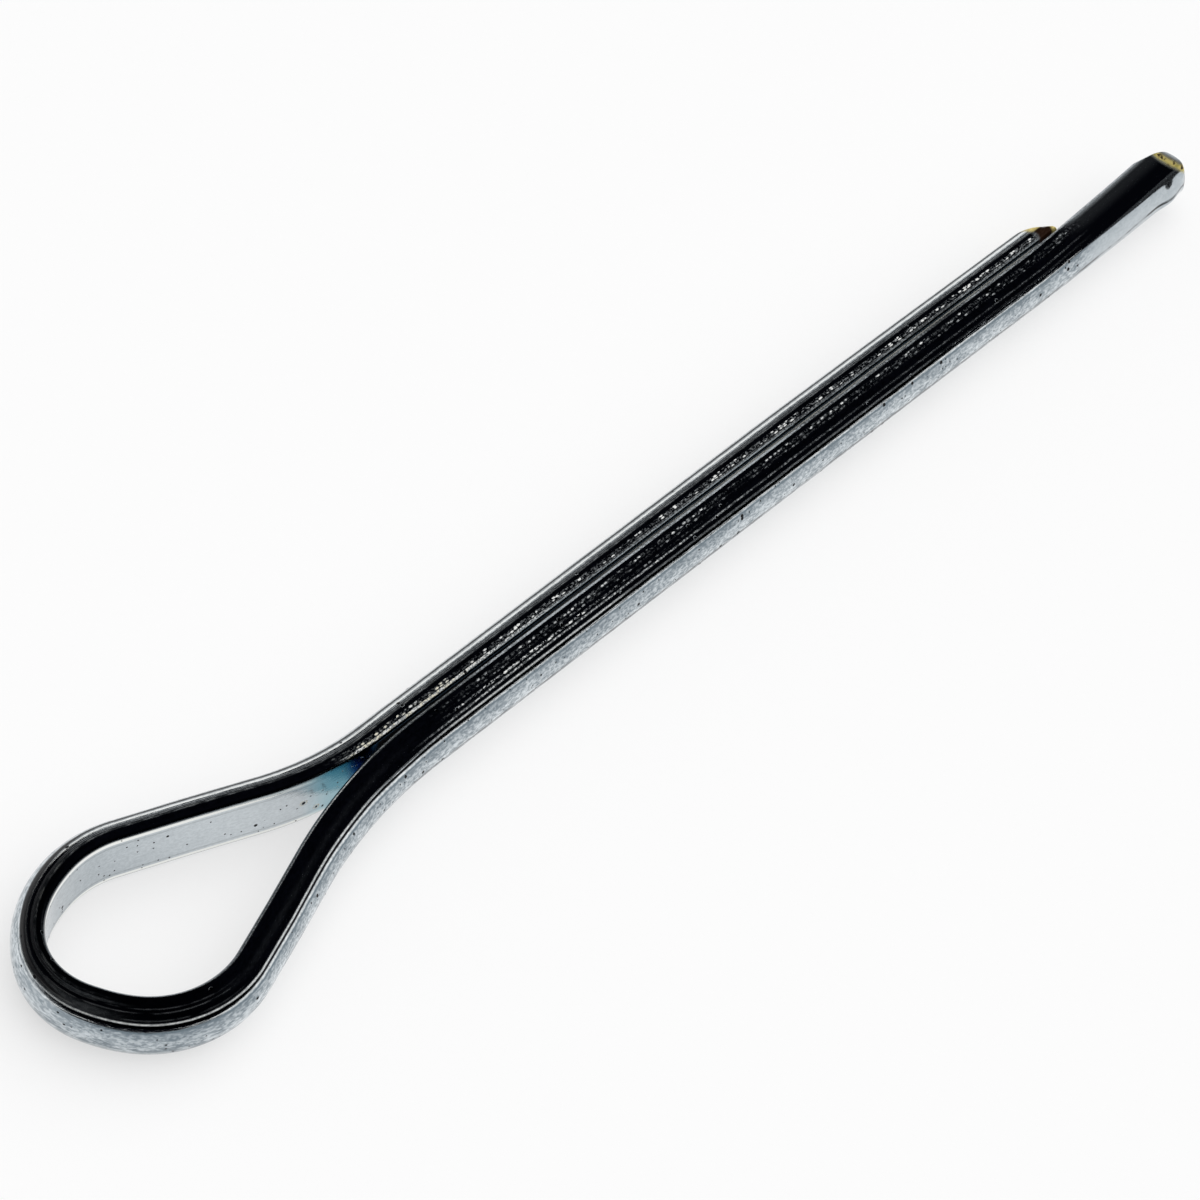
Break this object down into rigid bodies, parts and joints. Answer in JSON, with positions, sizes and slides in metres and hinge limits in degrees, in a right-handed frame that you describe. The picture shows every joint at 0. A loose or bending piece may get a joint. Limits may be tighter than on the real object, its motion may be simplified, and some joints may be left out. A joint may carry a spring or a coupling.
{
  "type": "cotter pin",
  "caption": "Split cotter pin bent from one half-round wire: teardrop eye, round split shank, a long leg with a rounded nose and a shorter leg with a bevelled point.",
  "frame": {"origin": "on the shank's axis, where the shank begins to be fully round below the eye", "axes": "+X along the shank from the eye to the tips, +Y across the two legs towards the short one, +Z square to the eye's plane, so that the pin lies flat on its side"},
  "size_m": [0.1185, 0.0186, 0.0054],
  "materials": {
    "zinc_plated_steel": "bright zinc plating over drawn wire, with fine lines along the wire and small pits"
  },
  "bodies": {
    "root": {"split_pin": "zinc_plated_steel"}
  },
  "joints": []
}
